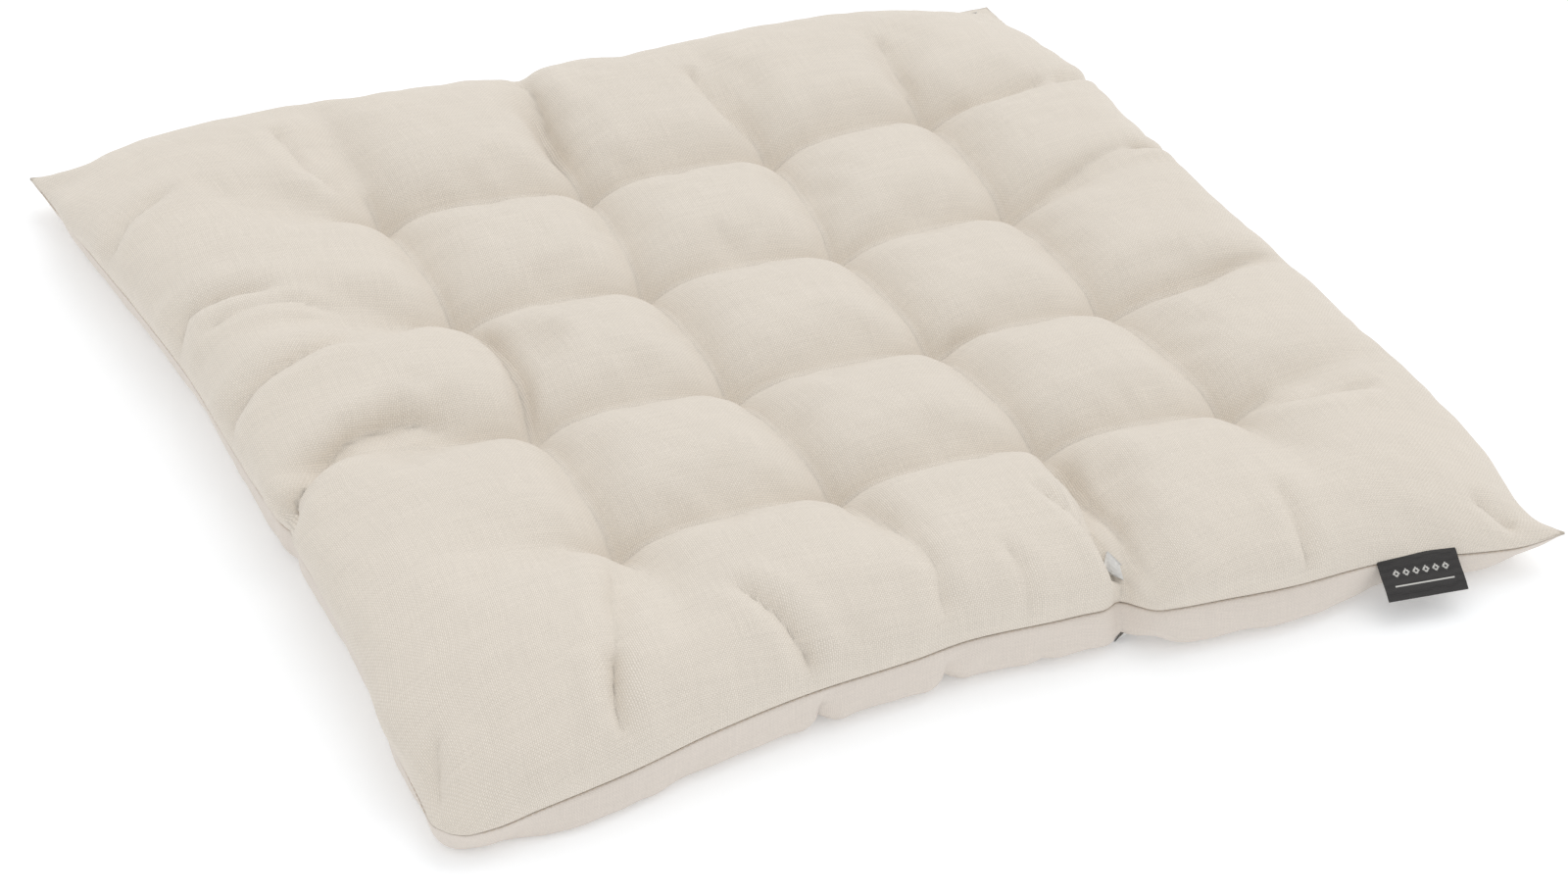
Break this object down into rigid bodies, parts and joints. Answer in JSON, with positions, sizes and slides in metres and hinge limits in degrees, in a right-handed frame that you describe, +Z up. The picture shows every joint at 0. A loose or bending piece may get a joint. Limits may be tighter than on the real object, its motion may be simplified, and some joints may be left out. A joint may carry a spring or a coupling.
{
  "type": "chair seat pad",
  "caption": "Square tufted seat pad in undyed woven canvas: knife-edge seam, loose fibre filling, thread ties in a grid and a ribbon label that swings in the front seam.",
  "frame": {"origin": "on the rest plane under the middle of the pad", "axes": "+Z up out of the tufted face, +X to the right along the front seam, +Y from the front seam (the one with the label) to the back"},
  "size_m": [0.5, 0.5077, 0.0496],
  "materials": {
    "canvas_top": "matt plain-weave canvas",
    "canvas_under": "matt plain-weave canvas",
    "fibre": "loose polyester fibre",
    "thread": "twisted polyester thread",
    "ribbon": "satin woven ribbon"
  },
  "bodies": {
    "cushion": {"top_panel": "canvas_top", "bottom_panel": "canvas_under", "fibre_fill": "fibre", "seam_thread": "thread", "closing_stitch": "thread", "label_tail": "ribbon", "tuft_tie_1_1": "thread", "tuft_tie_1_2": "thread", "tuft_tie_1_3": "thread", "tuft_tie_1_4": "thread", "tuft_tie_2_1": "thread", "tuft_tie_2_2": "thread", "tuft_tie_2_3": "thread", "tuft_tie_2_4": "thread", "tuft_tie_3_1": "thread", "tuft_tie_3_2": "thread", "tuft_tie_3_3": "thread", "tuft_tie_3_4": "thread", "tuft_tie_4_1": "thread", "tuft_tie_4_2": "thread", "tuft_tie_4_3": "thread", "tuft_tie_4_4": "thread"},
    "label": {"label_flap": "ribbon"}
  },
  "joints": [
    {"name": "label_swing", "type": "hinge", "parent": "cushion", "child": "label", "pos_m": [0.17943, -0.24091, 0.02], "axis": [-0.9935, 0.1141, 0], "range_deg": [-40, 100], "stiffness_Nm_per_rad": 0.001}
  ]
}
